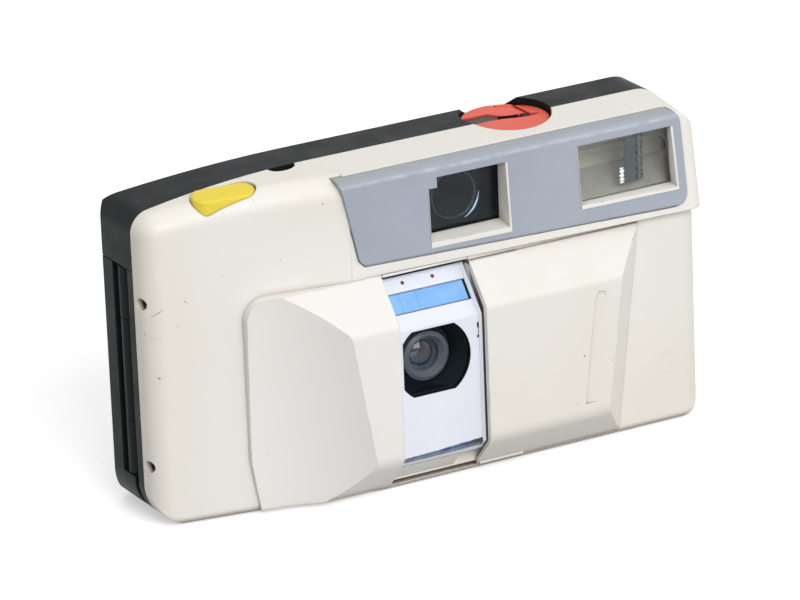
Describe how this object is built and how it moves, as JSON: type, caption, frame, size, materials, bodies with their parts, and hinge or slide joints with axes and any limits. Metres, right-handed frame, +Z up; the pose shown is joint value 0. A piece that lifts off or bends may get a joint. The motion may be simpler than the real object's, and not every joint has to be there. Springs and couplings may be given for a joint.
{
  "type": "compact film camera",
  "caption": "Compact 35 mm film camera with sliding lens cover, built-in flash, rewind dial and hinged film door",
  "frame": {"origin": "middle of the base, under the seam between front cover and back", "axes": "+X to the right of the front view, +Y towards the film door, +Z up"},
  "size_m": [0.1324, 0.0416, 0.0737],
  "materials": {
    "cream_plastic": "fine satin moulding",
    "black_plastic": "fine satin moulding",
    "panel_plastic": "satin",
    "white_plastic": "polished",
    "blue_plastic": "polished",
    "red_plastic": "satin gloss",
    "yellow_plastic": "satin gloss",
    "dark_plastic": "satin",
    "clear_plastic": "clear",
    "smoke_plastic": "dark clear",
    "lens_glass": "coated",
    "reflector": "bright",
    "steel": "stamped",
    "dark_steel": "blackened",
    "circuit": "laminate",
    "cell_sleeve": "wrapped steel can",
    "capacitor_sleeve": "shrink sleeve"
  },
  "bodies": {
    "camera": {"front_cover": "cream_plastic", "fascia_panel": "panel_plastic", "viewfinder_window": "clear_plastic", "flash_window": "clear_plastic", "viewfinder_tube": "dark_plastic", "viewfinder_eyepiece": "clear_plastic", "flash_reflector": "reflector", "flash_tube": "lens_glass", "flash_contact": "dark_steel", "flash_capacitor": "capacitor_sleeve", "circuit_board": "circuit", "lens_panel": "white_plastic", "blue_stripe": "blue_plastic", "lens_hood": "dark_plastic", "lens_barrel": "dark_plastic", "front_lens": "lens_glass", "rear_lens": "lens_glass", "shutter_housing": "dark_plastic", "shutter_cover": "dark_steel", "cover_rail": "dark_plastic", "mid_frame": "black_plastic", "rear_top_cover": "black_plastic", "strap_bar": "steel", "ready_lamp": "red_plastic", "counter_window": "smoke_plastic", "hinge_pin": "steel", "battery_cells": "cell_sleeve", "battery_terminals": "steel", "case_screws": "dark_steel"},
    "film_door": {"back_door": "black_plastic", "film_window": "smoke_plastic", "cartridge_spring": "steel"},
    "pressure": {"pressure_plate": "dark_steel", "pressure_spring": "steel"},
    "latch": {"door_latch": "dark_plastic"},
    "cover": {"lens_cover": "cream_plastic"},
    "release": {"shutter_button": "yellow_plastic"},
    "rewind_lift": {"rewind_washer": "steel"},
    "rewind": {"rewind_shaft": "dark_plastic", "rewind_knob": "red_plastic", "crank_pin": "steel"},
    "crank": {"rewind_crank": "red_plastic"},
    "advance": {"advance_wheel": "black_plastic"},
    "spool": {"takeup_spool": "dark_plastic"},
    "sprocket": {"sprocket_shaft": "dark_plastic"},
    "counter": {"counter_dial": "white_plastic"},
    "hatch": {"battery_door": "black_plastic", "battery_contact_strip": "steel"},
    "rewind_release": {"rewind_release_button": "dark_plastic"},
    "blade": {"shutter_blade": "dark_steel"}
  },
  "joints": [
    {"name": "door_hinge", "type": "hinge", "parent": "camera", "child": "film_door", "pos_m": [-0.0639, 0.0065, 0.03], "axis": [0, 0, 1], "range_deg": [0, 105]},
    {"name": "pressure_float", "type": "slide", "parent": "film_door", "child": "pressure", "axis": [0, 1, 0], "range_m": [0, 0.0005], "stiffness_N_per_m": 400, "springref_m": -0.002},
    {"name": "latch_slide", "type": "slide", "parent": "film_door", "child": "latch", "axis": [0, 0, -1], "range_m": [0, 0.003], "stiffness_N_per_m": 150, "springref_m": -0.003},
    {"name": "cover_slide", "type": "slide", "parent": "camera", "child": "cover", "axis": [-1, 0, 0], "range_m": [0, 0.0211]},
    {"name": "release_press", "type": "slide", "parent": "camera", "child": "release", "axis": [0, 0, -1], "range_m": [0, 0.0012], "stiffness_N_per_m": 400, "springref_m": -0.001},
    {"name": "rewind_pull", "type": "slide", "parent": "camera", "child": "rewind_lift", "axis": [0, 0, 1], "range_m": [0, 0.009]},
    {"name": "rewind_turn", "type": "hinge", "parent": "rewind_lift", "child": "rewind", "pos_m": [0.0273, 0.0032, 0.07], "axis": [0, 0, 1], "continuous": true},
    {"name": "crank_fold", "type": "hinge", "parent": "rewind", "child": "crank", "pos_m": [0.0323, 0.0032, 0.07125], "axis": [0, 1, 0], "range_deg": [0, 100]},
    {"name": "advance_turn", "type": "hinge", "parent": "camera", "child": "advance", "pos_m": [-0.0495, 0.008, 0.0615], "axis": [0, 0, 1], "continuous": true},
    {"name": "spool_turn", "type": "hinge", "parent": "camera", "child": "spool", "pos_m": [-0.0495, 0.008, 0.03], "axis": [0, 0, 1], "continuous": true},
    {"name": "sprocket_turn", "type": "hinge", "parent": "camera", "child": "sprocket", "pos_m": [-0.0303, 0.0086, 0.03], "axis": [0, 0, 1], "continuous": true},
    {"name": "counter_turn", "type": "hinge", "parent": "camera", "child": "counter", "pos_m": [-0.0256, 0.003, 0.065], "axis": [0, 0, 1], "continuous": true},
    {"name": "hatch_slide", "type": "slide", "parent": "camera", "child": "hatch", "axis": [1, 0, 0], "range_m": [0, 0.02]},
    {"name": "rewind_release_press", "type": "slide", "parent": "camera", "child": "rewind_release", "axis": [0, 0, 1], "range_m": [0, 0.0012], "stiffness_N_per_m": 150, "springref_m": -0.001},
    {"name": "blade_swing", "type": "hinge", "parent": "camera", "child": "blade", "pos_m": [-0.0129, -0.0052, 0.024], "axis": [0, 1, 0], "range_deg": [0, 38], "stiffness_Nm_per_rad": 0.00005, "springref_deg": -11.46}
  ],
  "couplings": [
    {"joint": "spool_turn", "follows": "advance_turn", "ratio": 1},
    {"joint": "sprocket_turn", "follows": "advance_turn", "ratio": 1},
    {"joint": "counter_turn", "follows": "advance_turn", "ratio": -0.03125}
  ]
}
